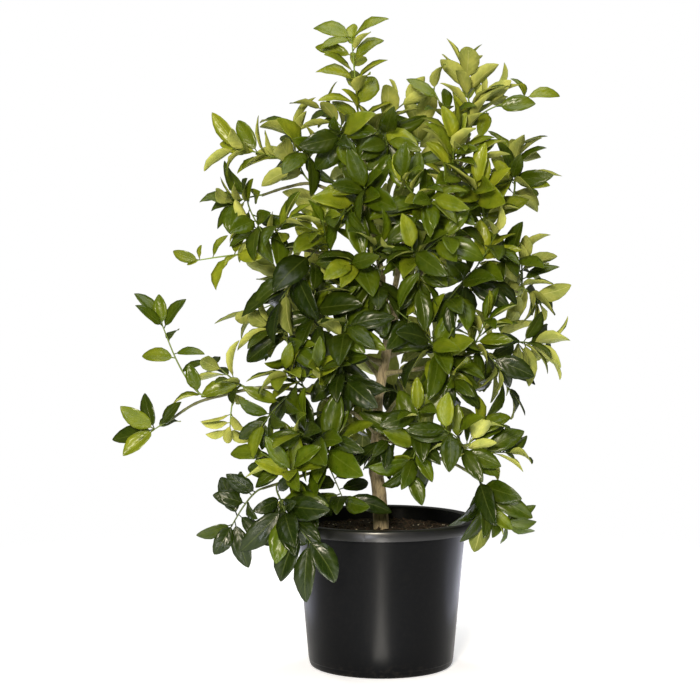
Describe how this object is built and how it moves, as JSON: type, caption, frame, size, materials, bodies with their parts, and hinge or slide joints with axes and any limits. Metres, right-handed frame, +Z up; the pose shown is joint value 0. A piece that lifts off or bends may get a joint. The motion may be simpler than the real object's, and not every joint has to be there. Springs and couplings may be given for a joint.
{
  "type": "potted lime tree",
  "caption": "Young lime tree with one slim trunk, rising leafy branches and glossy oval leaves, rooted in potting soil in a black nursery pot with an overhanging rim.",
  "frame": {"origin": "the middle of the pot's underside, on the flat pad that it stands on", "axes": "+Z up the trunk, -Y towards the tree's fullest face, +X to the right as seen from there"},
  "size_m": [0.8428, 0.6279, 1.1962],
  "materials": {
    "pot_plastic": "satin",
    "potting_mix": "matte",
    "trunk_bark": "matte",
    "branch_bark": "matte",
    "mature_leaves": "satin",
    "young_leaves": "satin"
  },
  "bodies": {
    "root": {"branch_back_left": "branch_bark", "branch_back_low": "branch_bark", "branch_back_right": "branch_bark", "branch_far_left": "branch_bark", "branch_high_left": "branch_bark", "branch_high_right": "branch_bark", "branch_low_left": "branch_bark", "branch_low_right": "branch_bark", "branch_mid_left": "branch_bark", "branch_mid_right": "branch_bark", "branch_out_right": "branch_bark", "branch_up_left": "branch_bark", "pot": "pot_plastic", "potting_soil": "potting_mix", "spray_back_high_left": "mature_leaves", "spray_back_high_right": "mature_leaves", "spray_back_left_in": "mature_leaves", "spray_back_left_tip": "mature_leaves", "spray_back_low_left": "mature_leaves", "spray_back_low_tip": "mature_leaves", "spray_back_right_in": "mature_leaves", "spray_back_right_tip": "mature_leaves", "spray_back_top": "young_leaves", "spray_crown_left": "mature_leaves", "spray_crown_right": "young_leaves", "spray_far_left_front": "young_leaves", "spray_far_left_mid": "mature_leaves", "spray_far_left_tip": "mature_leaves", "spray_far_left_up": "mature_leaves", "spray_high_left_outer": "mature_leaves", "spray_high_left_tip": "young_leaves", "spray_high_right_front": "young_leaves", "spray_high_right_tip": "mature_leaves", "spray_left_leader_front": "mature_leaves", "spray_left_leader_low": "mature_leaves", "spray_low_left_front": "mature_leaves", "spray_low_left_hang": "mature_leaves", "spray_low_left_tip": "mature_leaves", "spray_low_left_yellow": "young_leaves", "spray_low_right_in": "mature_leaves", "spray_low_right_tip": "mature_leaves", "spray_low_right_up": "young_leaves", "spray_mid_left_front": "mature_leaves", "spray_mid_left_tip": "mature_leaves", "spray_mid_left_up": "mature_leaves", "spray_mid_right_front": "mature_leaves", "spray_mid_right_tip": "mature_leaves", "spray_mid_right_up": "young_leaves", "spray_out_right_front": "young_leaves", "spray_out_right_outer": "mature_leaves", "spray_right_leader_front": "young_leaves", "spray_right_leader_left": "young_leaves", "spray_right_leader_low": "mature_leaves", "spray_right_leader_mid": "young_leaves", "spray_right_leader_tip": "young_leaves", "spray_top_leader": "young_leaves", "spray_up_left_front": "young_leaves", "spray_up_left_mid": "young_leaves", "spray_up_left_tip": "young_leaves", "trunk": "trunk_bark"}
  },
  "joints": []
}
